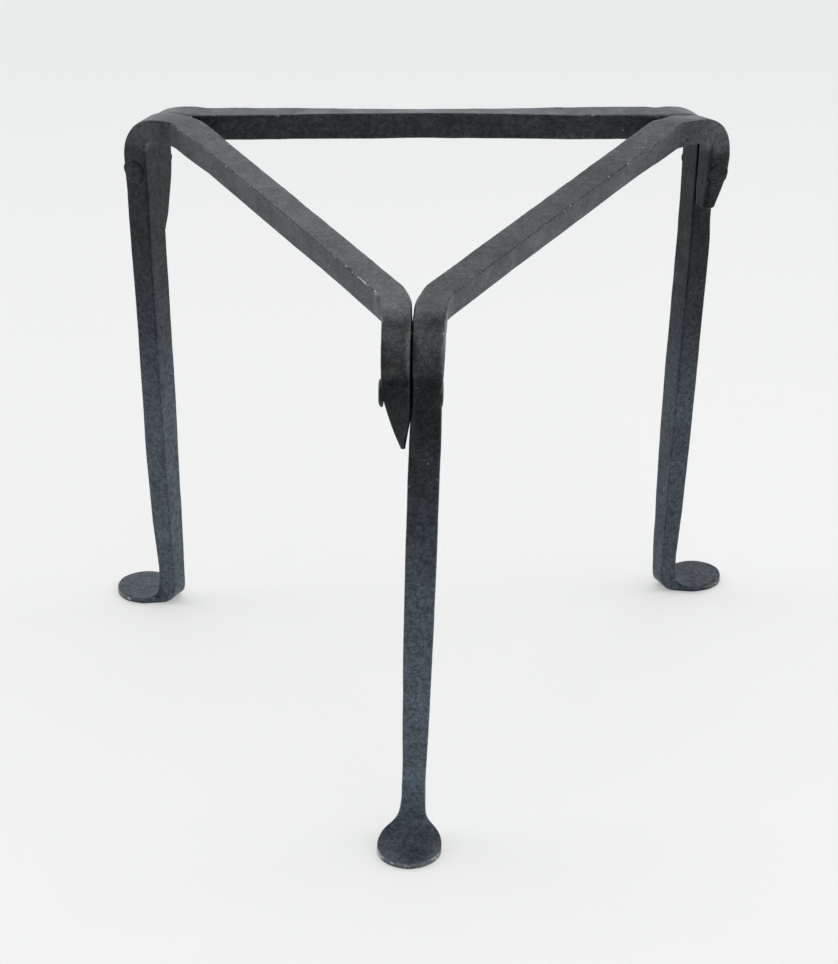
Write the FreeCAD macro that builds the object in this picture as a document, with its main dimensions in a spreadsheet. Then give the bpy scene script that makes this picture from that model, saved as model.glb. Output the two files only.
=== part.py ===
# Hand-forged three-legged trivet, a stand that holds a pot or a hot iron above a surface.
#
# It is made from three bars of 3/8 in square stock and three rivets.  Each bar is one
# forging: a round "penny" foot, a tapered leg, a square shoulder (the knee), a straight top
# rail and, past the far corner, a second shoulder (the bight) that drops into a short
# pointed tail.  Seen from above the three rails close a triangle.  At each corner the tail
# of one member lies flat against the leg of the next, and one rivet runs sideways through
# both.
#
# Frame: millimetres, +Z up, floor at Z = 0, the front leg towards -Y.  The origin is on
# the floor under the middle of the outline.
#
# Every member is drawn in its own corner frame: its leg stands at -Y ("radial" is the
# distance from the stand's axis towards that leg, "tangential" is +X there), its rail runs
# at about 60 degrees to the next corner and its tail hangs there.  The members are then
# turned 0, 120 and 240 degrees about Z.  A corner has the name of the member whose leg
# stands there.  The small differences between members are those of handwork.

import FreeCAD, Part
import Sketcher
import math
import os

V = FreeCAD.Vector
Z_AXIS = V(0, 0, 1)
doc = FreeCAD.newDocument("forged_trivet")

# ---------------------------------------------------------------- driving dimensions
# Member, the corner its tail reaches, and its turn about Z in degrees.
LAYOUT = (
    ("front", "right", 0.0),
    ("right", "left", 120.0),
    ("left", "front", 240.0),
)
TAIL_TURN = 120.0  # from a member's leg to the corner where its tail hangs
TAIL_ANGLE = math.radians(30)  # plan direction of that corner, from +X

# Alias, value, note.
cells = [
    ("top_height", 201.0, "floor to the rails' top faces"),
    ("bar_width", 9.525, "3/8 in square stock, seen from above"),
    ("bar_depth", 9.25, "rail height after dressing the faces"),
    ("bend_swept", 28.0, "outside of the 30 degree bends in plan"),
    ("bend_tight", 1.5, "inside of the 30 degree bends in plan"),
    ("lap_gap", 0.1, "scale-thick gap between leg and tail at a corner"),
    ("shift_east", 3.5, "stand axis relative to the origin, X"),
    ("shift_north", 26.6, "stand axis relative to the origin, Y"),
    ("rail_overlap", 0.3, "rail runs this far into each shoulder block"),
    ("shoulder_inset", 0.2, "shoulder rounds end this far inside the outer faces"),
    ("cutter_margin", 4.0, "shoulder cutters reach this far beyond the metal"),
    ("heel_up", 0.8, "heel cut back from the leg's inner face at the instep"),
    ("heel_back", 4.0, "heel cut back from the leg's inner face at the floor"),
    ("foot_thick", 2.1, "penny foot"),
    ("tail_radial", 8.4, "tail's radial width above its taper"),
    ("rivet_shank", 4.76, "3/16 in rivet, diameter"),
    ("rivet_hole", 4.86, "hole diameter"),
    ("rivet_head", 8.6, "head diameter"),
    ("rivet_rim", 0.3, "straight edge of the head"),
    ("rivet_dome", 0.95, "height of the low hammered head"),
]

# Leg station: level above the floor, radial width, tangential width.  The lap takes its
# tangential width from the member, and the sole is on the floor.
LEG_STATIONS = {
    "lap": (170.5, 9.0, None),
    "upper": (143.0, 8.8, 10.0),
    "middle": (95.0, 8.6, 9.9),
    "lower": (62.0, 8.3, 9.25),
    "ankle": (33.5, 7.5, 8.1),
    "neck": (14.0, 6.8, 7.2),
    "instep": (7.0, 8.4, 10.0),
    "sole": (None, 10.5, 14.5),
}
for station, sizes in LEG_STATIONS.items():
    for field, size in zip(("level", "radial", "tangential"), sizes):
        if size is not None:
            cells.append((f"{station}_{field}", size, f"leg {field} at the {station}"))

# Corner fields: alias ending, note, then the front, right and left values.
CORNER_FIELDS = (
    ("lap_shift", "tangential shift of the lap plane", 0.5, 0.15, -0.4),
    ("rivet_drop", "rivet below the rails' top", 26.2, 22.9, 21.9),
    ("rivet_out", "rivet from the stand's axis", 117.0, 117.6, 117.4),
    ("tail_thick", "tangential thickness of the tail", 9.3, 9.3, 8.5),
    ("tail_out", "tail stands out from the leg's inner face", 0.0, 0.0, 1.0),
)
# Member fields, in the same columns.  The front member's tail is drawn down radially, the
# other two mainly tangentially.
MEMBER_FIELDS = (
    ("rail_angle", "rail direction in degrees", 61.01, 60.68, 59.42),
    ("rail_offset", "rail centre line from the axis", 53.27, 53.10, 52.80),
    ("inner_top", "leg's inner face from the axis, at the top", 113.0, 113.8, 113.2),
    ("inner_floor", "the same at the floor", 106.6, 106.2, 105.4),
    ("leg_width", "leg's tangential width at the lap", 10.4, 9.8, 9.7),
    ("leg_floor_centre", "leg's tangential centre at the floor", -0.7, 7.1, 8.1),
    ("foot_radial", "foot centre, radial", 120.9, 123.8, 122.4),
    ("foot_tangential", "foot centre, tangential", -1.1, 7.1, 8.5),
    ("foot_radius", "foot disc", 10.85, 10.45, 10.95),
    ("knee_radius", "shoulder over the leg, outside", 15.0, 15.5, 16.5),
    ("bight_radius", "shoulder over the tail, outside", 10.5, 16.0, 15.0),
    ("tail_length", "rails' top to tail tip", 35.0, 48.5, 46.4),
    ("tip_radial", "tail tip, radial width", 3.8, 5.0, 4.8),
    ("tip_tangential", "tail tip, tangential width", 7.8, 2.2, 1.8),
    ("tip_inset", "tail tip off the tail's inner face", 0.2, 1.6, 1.8),
    ("tip_off", "tail tip off the lap plane", 0.4, 1.8, 1.7),
)
for field, note, *values in CORNER_FIELDS + MEMBER_FIELDS:
    for (member, _, _), value in zip(LAYOUT, values):
        cells.append((f"{member}_{field}", value, note))

sheet = doc.addObject("Spreadsheet::Sheet", "Dims")
dims = {}
for row, (alias, value, note) in enumerate(cells, 1):
    sheet.set(f"A{row}", alias)
    sheet.set(f"B{row}", repr(float(value)))
    sheet.setAlias(f"B{row}", alias)
    sheet.set(f"C{row}", note)
    dims[alias] = float(value)
doc.recompute()


# ---------------------------------------------------------------- helpers
def value_of(expression):
    """The number that a sheet expression gives, for first guesses in sketches."""
    # Longest alias first, so that none is taken for the start of another.
    for alias in sorted(dims, key=len, reverse=True):
        expression = expression.replace("Dims." + alias, repr(dims[alias]))
    return float(FreeCAD.Units.Quantity(expression).Value)


def add_sketch(body, name, role, offset=None):
    item = body.newObject("Sketcher::SketchObject", name)
    origin_plane = next(f for f in body.Origin.OriginFeatures if f.Role == role)
    item.AttachmentSupport = [(origin_plane, "")]
    item.MapMode = "FlatFace"
    if offset is not None:
        item.AttachmentOffset = offset
    item.Visibility = False
    return item


def level_sketch(body, name, z, turn=0.0):
    """Horizontal sketch at the height given by the expression z."""
    offset = FreeCAD.Placement(V(0, 0, value_of(z)), FreeCAD.Rotation(Z_AXIS, turn))
    item = add_sketch(body, name, "XY_Plane", offset)
    if z != "0":
        item.setExpression("AttachmentOffset.Base.z", z)
    return item


def upright_sketch(body, name, turn):
    """Sketch in the YZ plane turned about Z: its x is minus radial, its y is height."""
    offset = FreeCAD.Placement(V(0, 0, 0), FreeCAD.Rotation(V(0, 1, 0), turn))
    return add_sketch(body, name, "YZ_Plane", offset)


def bound(item, name, kind, geometry, value, expression):
    """Add a dimensional constraint that starts at value and follows the expression."""
    index = item.addConstraint(Sketcher.Constraint(kind, *geometry, value))
    item.renameConstraint(index, name)
    item.setExpression("Constraints." + name, expression)


def constrain(item, kind, *edges):
    """Add the same one-edge constraint to several edges."""
    for edge in edges:
        item.addConstraint(Sketcher.Constraint(kind, edge))


def polygon(item, points):
    """Closed outline; edge k starts at point k."""
    count = len(points)
    for k in range(count):
        item.addGeometry(Part.LineSegment(points[k], points[(k + 1) % count]), False)
    for k in range(count):
        item.addConstraint(Sketcher.Constraint("Coincident", k, 2, (k + 1) % count, 1))


def rectangle(item, x_low, x_high, y_low, y_high):
    """Rectangle whose sides are dimensioned from the sketch origin by expressions."""
    x0, x1, y0, y1 = (value_of(side) for side in (x_low, x_high, y_low, y_high))
    polygon(item, [V(x0, y0, 0), V(x1, y0, 0), V(x1, y1, 0), V(x0, y1, 0)])
    constrain(item, "Horizontal", 0)
    constrain(item, "Vertical", 1)
    constrain(item, "Horizontal", 2)
    constrain(item, "Vertical", 3)
    bound(item, "x_low", "DistanceX", (-1, 1, 0, 1), x0, x_low)
    bound(item, "x_high", "DistanceX", (-1, 1, 1, 1), x1, x_high)
    bound(item, "y_low", "DistanceY", (-1, 1, 0, 1), y0, y_low)
    bound(item, "y_high", "DistanceY", (-1, 1, 2, 1), y1, y_high)


def shorter_arc(centre, radius, one, two):
    """The shorter arc about centre through both points, drawn counter-clockwise."""
    start = math.atan2(one.y - centre.y, one.x - centre.x)
    end = math.atan2(two.y - centre.y, two.x - centre.x)
    if (end - start) % (2 * math.pi) > math.pi:
        start, end = end, start
    sweep = (end - start) % (2 * math.pi)
    return Part.ArcOfCircle(Part.Circle(centre, Z_AXIS, radius), start, start + sweep)


def line_crossing(normal_a, distance_a, normal_b, distance_b):
    """Where two plan lines cross, each given by its unit normal and distance."""
    det = normal_a[0] * normal_b[1] - normal_a[1] * normal_b[0]
    return V((distance_a * normal_b[1] - distance_b * normal_a[1]) / det,
             (normal_a[0] * distance_b - normal_b[0] * distance_a) / det, 0)


def pad(body, name, profile, length):
    doc.recompute()
    item = body.newObject("PartDesign::Pad", name)
    item.Profile = profile
    item.setExpression("Length", length)
    doc.recompute()


def loft(body, name, sections):
    doc.recompute()
    item = body.newObject("PartDesign::AdditiveLoft", name)
    item.Profile = sections[0]
    item.Sections = sections[1:]
    item.Ruled = True
    item.Closed = False
    doc.recompute()


def cut_both_ways(body, name, profile, length, least_removed):
    """Pocket to both sides of its sketch; it must remove more than the given volume."""
    before = body.Shape.Volume
    doc.recompute()
    item = body.newObject("PartDesign::Pocket", name)
    item.Profile = profile
    item.Midplane = True
    item.setExpression("Length", length)
    doc.recompute()
    if not before - body.Shape.Volume > least_removed:
        raise RuntimeError(f"{name} cut nothing")


# ---------------------------------------------------------------- shared expressions
def leg_side(corner):
    """Tangential place of the leg's face at the lap, towards +X in the corner frame."""
    return f"(Dims.{corner}_lap_shift + Dims.lap_gap / 2)"


def tail_side(corner):
    """Distance of the tail's face at the lap, towards -X in the corner frame."""
    return f"(Dims.lap_gap / 2 - Dims.{corner}_lap_shift)"


def leg_inner(corner, z):
    """Leg's inner face from the stand's axis at height z; the leg leans."""
    own = f"Dims.{corner}"
    return (f"({own}_inner_floor + ({own}_inner_top - {own}_inner_floor)"
            f" * {z} / Dims.top_height)")


def tail_inner_top(corner):
    return f"Dims.{corner}_inner_top + Dims.{corner}_tail_out"


def rivet_height(corner):
    return f"Dims.top_height - Dims.{corner}_rivet_drop"


# ---------------------------------------------------------------- member
def add_rail(body, member, tail_corner):
    """Square bar with a short radial length at each end, drawn in plan."""
    own = f"Dims.{member}"
    lap, far = leg_side(member), tail_side(tail_corner)
    back = f"{lap} + Dims.bar_width"
    start = f"({own}_inner_top + Dims.rail_overlap)"
    end = f"({tail_inner_top(tail_corner)} + Dims.rail_overlap)"
    inner_line = f"({own}_rail_offset - Dims.bar_width / 2)"
    outer_line = f"({own}_rail_offset + Dims.bar_width / 2)"

    rail_angle = math.radians(dims[member + "_rail_angle"])
    cos_tail, sin_tail = math.cos(TAIL_ANGLE), math.sin(TAIL_ANGLE)
    leg_normal = (1, 0)
    rail_normal = (math.sin(rail_angle), -math.cos(rail_angle))
    tail_normal = (sin_tail, -cos_tail)
    lap_x, back_x = value_of(lap), value_of(back)
    start_out, end_out = value_of(start), value_of(end)
    tail_near, tail_wide = value_of(far), value_of(f"{far} + Dims.bar_width")
    inner, outer = value_of(inner_line), value_of(outer_line)

    def tail_end(side):
        return V(end_out * cos_tail + side * sin_tail,
                 end_out * sin_tail - side * cos_tail, 0)

    points = [
        V(lap_x, -start_out, 0),
        line_crossing(leg_normal, lap_x, rail_normal, inner),
        line_crossing(rail_normal, inner, tail_normal, tail_near),
        tail_end(tail_near),
        tail_end(tail_wide),
        line_crossing(rail_normal, outer, tail_normal, tail_wide),
        line_crossing(leg_normal, back_x, rail_normal, outer),
        V(back_x, -start_out, 0),
    ]
    underside = "Dims.top_height - Dims.bar_depth"
    plan = level_sketch(body, member + "_plan", underside)
    polygon(plan, points)
    constrain(plan, "Vertical", 0, 6)
    bound(plan, "lap_x", "DistanceX", (-1, 1, 0, 1), lap_x, lap)
    bound(plan, "lap_start", "DistanceY", (0, 1, -1, 1), start_out, start)
    bound(plan, "back_x", "DistanceX", (-1, 1, 7, 1), back_x, back)
    bound(plan, "back_start", "DistanceY", (7, 1, -1, 1), start_out, start)
    bound(plan, "inner_line", "Distance", (-1, 1, 1), inner, inner_line)
    bound(plan, "outer_line", "Distance", (-1, 1, 5), outer, outer_line)
    bound(plan, "inner_angle", "Angle", (1,), rail_angle, f"{own}_rail_angle * 1 deg")
    plan.addConstraint(Sketcher.Constraint("Parallel", 1, 5))
    plan.addConstraint(Sketcher.Constraint("Angle", 2, TAIL_ANGLE))
    plan.addConstraint(Sketcher.Constraint("Parallel", 2, 4))
    for edge, label, width in ((3, "near", "0"), (4, "wide", "Dims.bar_width")):
        side = f"({far} + {width})"
        bound(plan, label + "_x", "DistanceX", (-1, 1, edge, 1), points[edge].x,
              f"{end} * cos(30 deg) + {side} * sin(30 deg)")
        bound(plan, label + "_y", "DistanceY", (-1, 1, edge, 1), points[edge].y,
              f"{end} * sin(30 deg) - {side} * cos(30 deg)")
    pad(body, member + "_rail", plan, "Dims.bar_depth")

    add_bends(body, member + "_swept_bends", points[1:3], "bend_swept")
    add_bends(body, member + "_tight_bends", points[5:7], "bend_tight")


def add_bends(body, name, corners, radius_alias):
    """Round the upright edges of the rail that stand on the given plan corners."""
    picked = []
    for k, edge in enumerate(body.Shape.Edges, 1):
        ends = [vertex.Point for vertex in edge.Vertexes]
        if len(ends) != 2 or abs(ends[0].z - ends[1].z) < dims["bar_depth"] - 0.01:
            continue
        if any(math.hypot(ends[0].x - c.x, ends[0].y - c.y) < 0.01 for c in corners):
            picked.append(f"Edge{k}")
    if len(picked) != len(corners):
        raise RuntimeError(f"{name}: {len(picked)} edges")
    base = body.Tip
    item = body.newObject("PartDesign::Fillet", name)
    item.Base = (base, picked)
    item.setExpression("Radius", "Dims." + radius_alias)
    doc.recompute()


def add_leg(body, member):
    """Drawn-down square sections from the shoulder to the sole."""
    own = f"Dims.{member}"
    lap = leg_side(member)
    lap_centre = f"({lap} + {own}_leg_width / 2)"

    # Name, height, radial width, tangential width, cut-back of the heel.
    stations = [
        ("top", "Dims.top_height", "Dims.lap_radial", f"{own}_leg_width", "0"),
        ("lap", "Dims.lap_level", "Dims.lap_radial", f"{own}_leg_width", "0"),
    ]
    for tag in ("upper", "middle", "lower", "ankle", "neck"):
        stations.append((tag, f"Dims.{tag}_level", f"Dims.{tag}_radial",
                         f"Dims.{tag}_tangential", "0"))
    stations += [
        ("instep", "Dims.instep_level", "Dims.instep_radial", "Dims.instep_tangential",
         "Dims.heel_up"),
        ("sole", "0", "Dims.sole_radial", "Dims.sole_tangential", "Dims.heel_back"),
    ]
    sections = []
    for tag, z, radial, tangential, heel in stations:
        section = level_sketch(body, f"{member}_leg_{tag}", z)
        if tag in ("top", "lap"):
            low, high = lap, f"{lap} + {tangential}"
        else:
            # Below the lap the centre line leans sideways to its place at the floor.
            centre = (f"({own}_leg_floor_centre + ({lap_centre} - {own}_leg_floor_centre)"
                      f" * {z} / Dims.lap_level)")
            low = f"{centre} - {tangential} / 2"
            high = f"{centre} + {tangential} / 2"
        near = f"{leg_inner(member, z)} + {heel}"
        rectangle(section, low, high, f"-({near} + {radial})", f"-({near})")
        sections.append(section)
    loft(body, member + "_leg", sections)


def add_foot(body, member):
    """Penny foot: a flat disc on the floor."""
    own = f"Dims.{member}"
    x, y = dims[member + "_foot_tangential"], -dims[member + "_foot_radial"]
    radius = dims[member + "_foot_radius"]
    disc = add_sketch(body, member + "_penny", "XY_Plane")
    disc.addGeometry(Part.Circle(V(x, y, 0), Z_AXIS, radius), False)
    bound(disc, "penny_radius", "Radius", (0,), radius, f"{own}_foot_radius")
    bound(disc, "penny_tan", "DistanceX", (-1, 1, 0, 3), x, f"{own}_foot_tangential")
    bound(disc, "penny_radial", "DistanceY", (-1, 1, 0, 3), y, f"-{own}_foot_radial")
    pad(body, member + "_foot", disc, "Dims.foot_thick")


def add_tail(body, member, corner):
    """The same bar past the far corner, turned down and drawn to a point."""
    own = f"Dims.{member}"
    far = tail_side(corner)
    thick = f"Dims.{corner}_tail_thick"
    # The taper starts just below the rivet head.
    lap_z = f"({rivet_height(corner)} - 0.6 * Dims.rivet_head)"
    tip_z = f"(Dims.top_height - {own}_tail_length)"
    half_z = f"({lap_z} * 0.45 + {tip_z} * 0.55)"

    # Name, height, radial width, tangential width, offset from the tail's inner face,
    # offset from the lap plane.  The half section is a weighted mean of lap and tip.
    stations = (
        ("root", "Dims.top_height", "Dims.tail_radial", thick, "0", "0"),
        ("lap", lap_z, "Dims.tail_radial", thick, "0", "0"),
        ("half", half_z, f"(Dims.tail_radial * 0.6 + {own}_tip_radial * 0.4)",
         f"({thick} * 0.6 + {own}_tip_tangential * 0.4)",
         f"{own}_tip_inset * 0.4", f"{own}_tip_off * 0.3"),
        ("tip", tip_z, f"{own}_tip_radial", f"{own}_tip_tangential",
         f"{own}_tip_inset", f"{own}_tip_off"),
    )
    sections = []
    for tag, z, radial, tangential, inset, off in stations:
        section = level_sketch(body, f"{member}_tail_{tag}", z, TAIL_TURN)
        near = f"({leg_inner(corner, z)} + Dims.{corner}_tail_out) + {inset}"
        rectangle(section, f"-({far} + {off} + {tangential})", f"-({far} + {off})",
                  f"-({near} + {radial})", f"-({near})")
        sections.append(section)
    loft(body, member + "_tail", sections)


def punch_hole(body, name, corner, turn):
    """Rivet hole, punched sideways through the leg or the tail at a corner."""
    profile = upright_sketch(body, name + "_sketch", turn)
    height = rivet_height(corner)
    x, y = -dims[corner + "_rivet_out"], value_of(height)
    diameter = dims["rivet_hole"]
    profile.addGeometry(Part.Circle(V(x, y, 0), Z_AXIS, diameter / 2), False)
    bound(profile, "hole_size", "Diameter", (0,), diameter, "Dims.rivet_hole")
    bound(profile, "hole_radial", "DistanceX", (-1, 1, 0, 3), x,
          f"-Dims.{corner}_rivet_out")
    bound(profile, "hole_height", "DistanceY", (-1, 1, 0, 3), y, height)
    cut_both_ways(body, name, profile, "4 * Dims.bar_width", 100.0)


def round_shoulder(body, name, turn, radius_alias, outer_face):
    """Cut off the square upper corner outside a big radius."""
    reach = f"({outer_face} - Dims.shoulder_inset)"
    top, out, radius = dims["top_height"], value_of(reach), dims[radius_alias]
    margin = dims["cutter_margin"]
    centre_x, centre_y = -(out - radius), top - radius
    clear_x, clear_y = -(out + margin), top + margin
    points = [V(centre_x, clear_y, 0), V(clear_x, clear_y, 0), V(clear_x, centre_y, 0),
              V(-out, centre_y, 0), V(centre_x, top, 0)]
    profile = upright_sketch(body, name + "_sketch", turn)
    for k in range(3):
        profile.addGeometry(Part.LineSegment(points[k], points[k + 1]), False)
    # The arc runs counter-clockwise from the top tangent to the outer tangent.
    profile.addGeometry(shorter_arc(V(centre_x, centre_y, 0), radius, points[3],
                                    points[4]), False)
    profile.addGeometry(Part.LineSegment(points[4], points[0]), False)
    for joint in ((0, 2, 1, 1), (1, 2, 2, 1), (2, 2, 3, 2), (3, 1, 4, 1), (4, 2, 0, 1)):
        profile.addConstraint(Sketcher.Constraint("Coincident", *joint))
    constrain(profile, "Horizontal", 0)
    constrain(profile, "Vertical", 1)
    constrain(profile, "Horizontal", 2)
    constrain(profile, "Vertical", 4)

    centre_out = f"{reach} - Dims.{radius_alias}"
    centre_up = f"Dims.top_height - Dims.{radius_alias}"
    bound(profile, "round", "Radius", (3,), radius, "Dims." + radius_alias)
    bound(profile, "centre_out", "DistanceX", (3, 3, -1, 1), -centre_x, centre_out)
    bound(profile, "centre_up", "DistanceY", (-1, 1, 3, 3), centre_y, centre_up)
    bound(profile, "clear_up", "DistanceY", (-1, 1, 0, 1), clear_y,
          "Dims.top_height + Dims.cutter_margin")
    bound(profile, "clear_out", "DistanceX", (1, 1, -1, 1), -clear_x,
          f"{reach} + Dims.cutter_margin")
    bound(profile, "low_end", "DistanceY", (-1, 1, 3, 2), centre_y, centre_up)
    bound(profile, "high_end", "DistanceX", (3, 1, -1, 1), -centre_x, centre_out)
    cut_both_ways(body, name, profile, "4.4 * Dims.bar_width", 60.0)


def make_member(member, tail_corner, turn):
    body = doc.addObject("PartDesign::Body", member + "_member")
    body.Label = "member_" + member
    add_rail(body, member, tail_corner)
    add_leg(body, member)
    add_foot(body, member)
    add_tail(body, member, tail_corner)
    punch_hole(body, member + "_leg_hole", member, 0.0)
    punch_hole(body, member + "_tail_hole", tail_corner, TAIL_TURN)
    round_shoulder(body, member + "_knee", 0.0, member + "_knee_radius",
                   f"Dims.{member}_inner_top + Dims.lap_radial")
    round_shoulder(body, member + "_bight", TAIL_TURN, member + "_bight_radius",
                   f"{tail_inner_top(tail_corner)} + Dims.tail_radial")

    body.Placement = FreeCAD.Placement(V(dims["shift_east"], dims["shift_north"], 0),
                                       FreeCAD.Rotation(Z_AXIS, turn))
    body.setExpression("Placement.Base.x", "Dims.shift_east")
    body.setExpression("Placement.Base.y", "Dims.shift_north")
    doc.recompute()
    return body


# ---------------------------------------------------------------- rivet
def draw_rivet(profile, corner):
    """Half outline along X: the tail's head at -X, the leg's head at +X."""
    tail_face = f"({tail_side(corner)} + Dims.{corner}_tail_thick)"
    leg_face = f"({leg_side(corner)} + Dims.{corner}_leg_width)"
    left, right = value_of(tail_face), value_of(leg_face)
    shank, head = dims["rivet_shank"] / 2, dims["rivet_head"] / 2
    rim, dome = dims["rivet_rim"], dims["rivet_dome"]
    crown = (head ** 2 + (dome - rim) ** 2) / (2 * (dome - rim))

    points = [
        V(-left - rim, head, 0), V(-left, head, 0), V(-left, shank, 0),
        V(right, shank, 0), V(right, head, 0), V(right + rim, head, 0),
        V(right + dome, 0, 0), V(-left - dome, 0, 0),
    ]
    profile.addGeometry(shorter_arc(V(-left - dome + crown, 0, 0), crown, points[0],
                                    points[7]), False)
    for k in range(5):
        profile.addGeometry(Part.LineSegment(points[k], points[k + 1]), False)
    profile.addGeometry(shorter_arc(V(right + dome - crown, 0, 0), crown, points[5],
                                    points[6]), False)
    profile.addGeometry(Part.LineSegment(points[6], points[7]), False)

    def end_at(edge, point):
        curve = profile.Geometry[edge]
        to_start = (curve.StartPoint - point).Length
        return 1 if to_start < (curve.EndPoint - point).Length else 2

    for k, point in enumerate(points):
        following = (k + 1) % 8
        profile.addConstraint(Sketcher.Constraint(
            "Coincident", k, end_at(k, point), following, end_at(following, point)))
    profile.addConstraint(Sketcher.Constraint("PointOnObject", 7, 1, -1))
    constrain(profile, "Horizontal", 7, 1, 3, 5)
    constrain(profile, "Vertical", 2, 4)

    rise = "(Dims.rivet_dome - Dims.rivet_rim)"
    crown_radius = f"((Dims.rivet_head / 2)^2 + {rise}^2) / (2 * {rise})"
    # Name, direction, edge, end of the edge, first value, expression.
    for name, kind, edge, end, value, expression in (
        ("under_tail", "DistanceX", 2, 1, -left, f"-{tail_face}"),
        ("under_leg", "DistanceX", 4, 1, right, leg_face),
        ("shank", "DistanceY", 3, 1, shank, "Dims.rivet_shank / 2"),
        ("head_tail", "DistanceY", 1, 1, head, "Dims.rivet_head / 2"),
        ("head_leg", "DistanceY", 5, 1, head, "Dims.rivet_head / 2"),
        ("rim_tail", "DistanceX", 1, 1, -left - rim, f"-({tail_face} + Dims.rivet_rim)"),
        ("rim_leg", "DistanceX", 5, 2, right + rim, f"{leg_face} + Dims.rivet_rim"),
        ("top_tail", "DistanceX", 7, 2, -left - dome, f"-({tail_face} + Dims.rivet_dome)"),
        ("top_leg", "DistanceX", 7, 1, right + dome, f"{leg_face} + Dims.rivet_dome"),
    ):
        bound(profile, name, kind, (-1, 1, edge, end), value, expression)
    bound(profile, "crown_tail", "Radius", (0,), crown, crown_radius)
    bound(profile, "crown_leg", "Radius", (6,), crown, crown_radius)


def make_rivet(corner, turn):
    """Solid rivet: shank through both bars and a low hammered dome on each side."""
    body = doc.addObject("PartDesign::Body", corner + "_rivet")
    body.Label = "rivet_" + corner
    profile = add_sketch(body, corner + "_rivet_profile", "XY_Plane")
    draw_rivet(profile, corner)
    doc.recompute()
    turned = body.newObject("PartDesign::Revolution", corner + "_rivet_turned")
    turned.Profile = profile
    turned.ReferenceAxis = (profile, ["H_Axis"])
    turned.Angle = 360.0
    doc.recompute()

    rotation = FreeCAD.Rotation(Z_AXIS, turn)
    place = rotation.multVec(V(0, -dims[corner + "_rivet_out"], 0))
    place += V(dims["shift_east"], dims["shift_north"], value_of(rivet_height(corner)))
    body.Placement = FreeCAD.Placement(place, rotation)
    out = f"Dims.{corner}_rivet_out"
    body.setExpression("Placement.Base.x", f"Dims.shift_east + {out} * sin({turn} deg)")
    body.setExpression("Placement.Base.y", f"Dims.shift_north - {out} * cos({turn} deg)")
    body.setExpression("Placement.Base.z", rivet_height(corner))
    doc.recompute()
    return body


parts = [make_member(member, tail_corner, turn) for member, tail_corner, turn in LAYOUT]
parts += [make_rivet(corner, turn) for corner, _, turn in LAYOUT]
doc.recompute()

# ---------------------------------------------------------------- checks and export
for item in doc.Objects:
    if "Invalid" in item.State or "Error" in item.State:
        raise RuntimeError(f"{item.Name} failed: {item.State}")
    if item.TypeId == "Sketcher::SketchObject" and item.solve() != 0:
        raise RuntimeError(f"{item.Name} does not solve")
for body in parts:
    shape = body.Shape
    if shape.isNull() or not shape.isValid() or len(shape.Solids) != 1:
        raise RuntimeError(f"{body.Label} is not one valid solid")
for i, one in enumerate(parts):
    for two in parts[i + 1:]:
        shared = one.Shape.common(two.Shape).Volume
        if shared > 1e-3:
            raise RuntimeError(f"{one.Label} overlaps {two.Label} by {shared:.3f} mm3")

os.makedirs("parts", exist_ok=True)
for body in parts:
    body.Shape.exportStep(f"parts/{body.Label}.step")
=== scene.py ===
# A hand-forged three-legged trivet: three forged bars joined by three rivets.
#
# It stands on z = 0 with its three corners round a vertical axis: front towards -Y, right
# towards +X and +Y, left towards -X and +Y.  Each member is one closed mesh swept from the
# rim of its penny foot, up the leg, round the shoulder, along the rail to the next corner
# and down into a pointed tail, which laps the next member's leg.
#
# The pieces are worked out in millimetres and turned into metres as meshes are made.
# Materials, floor, lights and camera are in metres.  In the tables "out" is the distance
# from the axis towards a corner and z the height.

import itertools
import math

import numpy as np

import bpy
from mathutils import Matrix, Vector


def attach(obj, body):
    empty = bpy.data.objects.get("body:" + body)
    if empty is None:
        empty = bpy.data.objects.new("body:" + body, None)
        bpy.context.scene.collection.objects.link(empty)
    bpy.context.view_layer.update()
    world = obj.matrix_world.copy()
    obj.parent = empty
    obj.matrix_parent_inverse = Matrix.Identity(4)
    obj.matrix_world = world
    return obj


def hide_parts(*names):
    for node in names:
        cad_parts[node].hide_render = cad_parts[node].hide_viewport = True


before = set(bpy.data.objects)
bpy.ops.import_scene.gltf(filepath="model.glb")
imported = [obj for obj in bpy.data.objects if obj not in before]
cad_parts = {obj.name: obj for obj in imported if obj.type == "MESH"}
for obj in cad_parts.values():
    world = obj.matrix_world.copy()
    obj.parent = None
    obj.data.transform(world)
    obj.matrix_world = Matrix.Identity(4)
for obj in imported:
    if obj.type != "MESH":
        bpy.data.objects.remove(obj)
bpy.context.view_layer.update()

MM = 0.001

# ---------------------------------------------------------------- driving dimensions
BAR_WIDTH = 9.525
RAIL_DEPTH = 9.25
RAIL_TOP = 201.0
RAIL_BOTTOM = RAIL_TOP - RAIL_DEPTH
FULL_WIDTH = (0.0, BAR_WIDTH)
AXIS = np.array([3.5, 26.6])
SPACING = 0.62          # greatest distance between stations
LAP_GAP = 0.05          # from the plane of a lap to each bar's face
LEG_FILLET, TAIL_FILLET = 2.6, 1.6      # under the shoulders
NOMINAL_FOOT_RADIUS = 10.85             # that the foot sections are drawn for

CORNER_ANGLE = {"front": -90, "right": 30, "left": 150}
FAR_CORNER = {"front": "right", "right": "left", "left": "front"}
# sideways place of each corner's lap, counterclockwise from the radial line
LAP = {"front": 0.5, "right": 0.15, "left": -0.4}
# how much higher (+) or lower (-) than the mean each corner stands
LIFT = {"front": -0.8, "right": 0.9, "left": -0.2}
LIFT_DISTANCE = 110     # from the axis to where those lifts hold
# heading in degrees (before the member is turned to its corner), distance from the axis
RAIL = {"front": (61.01, 53.27), "right": (60.68, 53.10), "left": (59.42, 52.80)}

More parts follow.
